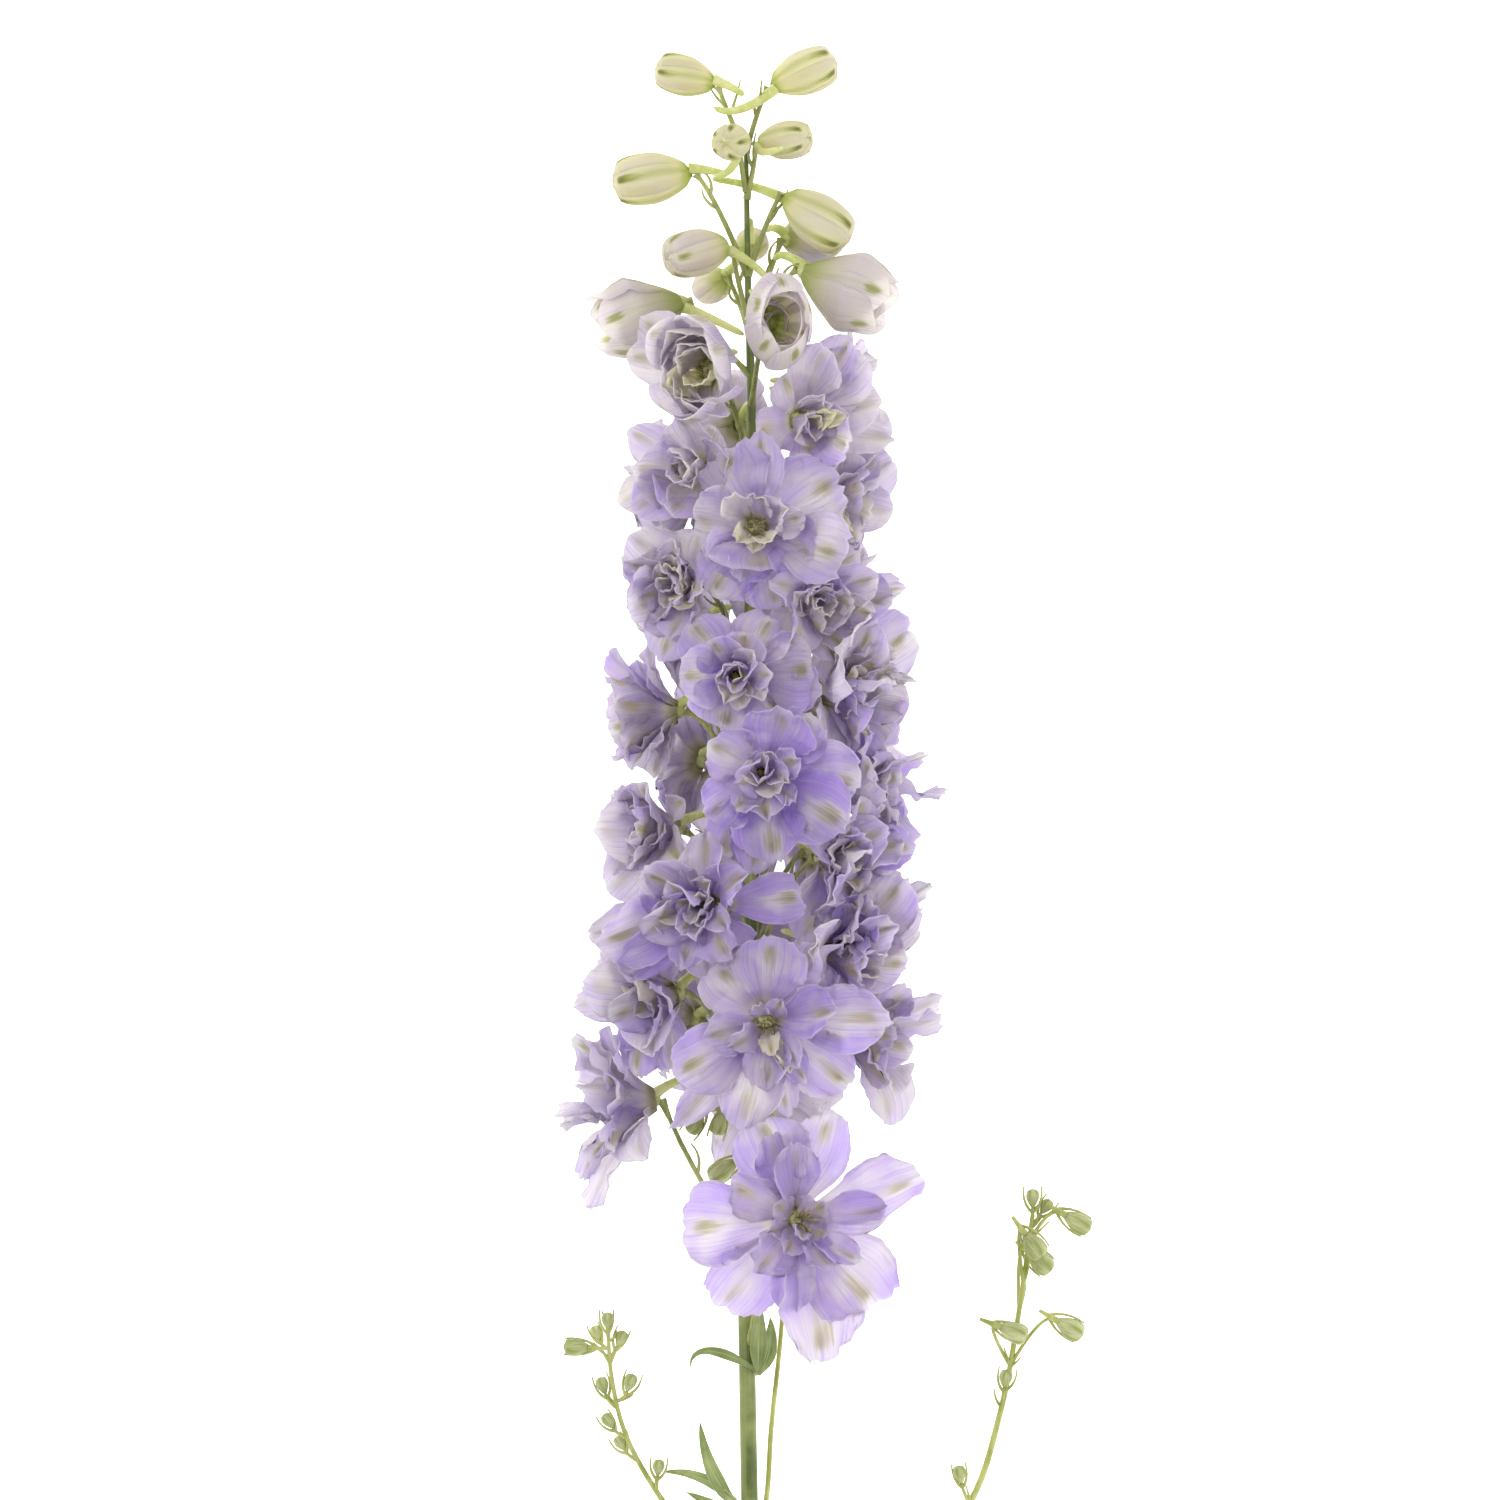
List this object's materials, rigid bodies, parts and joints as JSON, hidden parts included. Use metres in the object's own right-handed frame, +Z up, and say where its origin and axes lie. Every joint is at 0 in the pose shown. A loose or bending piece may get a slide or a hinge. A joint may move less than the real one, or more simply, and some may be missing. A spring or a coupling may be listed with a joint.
{
  "type": "delphinium flower spike",
  "caption": "Cut delphinium spike with double lavender flowers, half-open flowers and buds towards the tip, side shoots and small leaves, lying on its back.",
  "frame": {"origin": "on the surface that the spike lies on, under the middle of the space it takes up", "axes": "+Y along the stem from the cut end to the tip, +Z up away from the surface, +X to the right with the tip away from the viewer"},
  "size_m": [0.135, 0.4623, 0.0821],
  "materials": {
    "petal": "matte",
    "half_open": "matte",
    "bud": "matte",
    "stem": "satin",
    "shoot": "satin"
  },
  "bodies": {
    "root": {"stem": "stem", "side_shoot_right": "shoot", "side_shoot_left": "shoot", "side_shoot_middle": "shoot", "floret_01": "petal", "floret_02": "petal", "floret_03": "petal", "floret_04": "petal", "floret_05": "petal", "floret_06": "petal", "floret_07": "petal", "floret_08": "petal", "floret_09": "petal", "floret_10": "petal", "floret_11": "petal", "floret_12": "petal", "floret_13": "petal", "floret_14": "petal", "floret_15": "petal", "floret_16": "petal", "floret_17": "petal", "floret_18": "petal", "floret_19": "petal", "floret_20": "petal", "floret_21": "petal", "floret_22": "petal", "floret_23": "petal", "floret_24": "petal", "floret_25": "petal", "floret_26": "petal", "floret_27": "petal", "floret_28": "petal", "floret_29": "petal", "floret_30": "petal", "floret_31": "petal", "floret_32": "petal", "floret_33": "petal", "floret_34": "petal", "floret_35": "petal", "floret_36": "petal", "floret_37": "petal", "opening_bud_01": "half_open", "opening_bud_02": "half_open", "opening_bud_03": "half_open", "opening_bud_04": "half_open", "bud_01": "bud", "bud_02": "bud", "bud_03": "bud", "bud_04": "bud", "bud_05": "bud", "bud_06": "bud", "bud_07": "bud", "bud_08": "bud", "bud_09": "bud"}
  },
  "joints": []
}
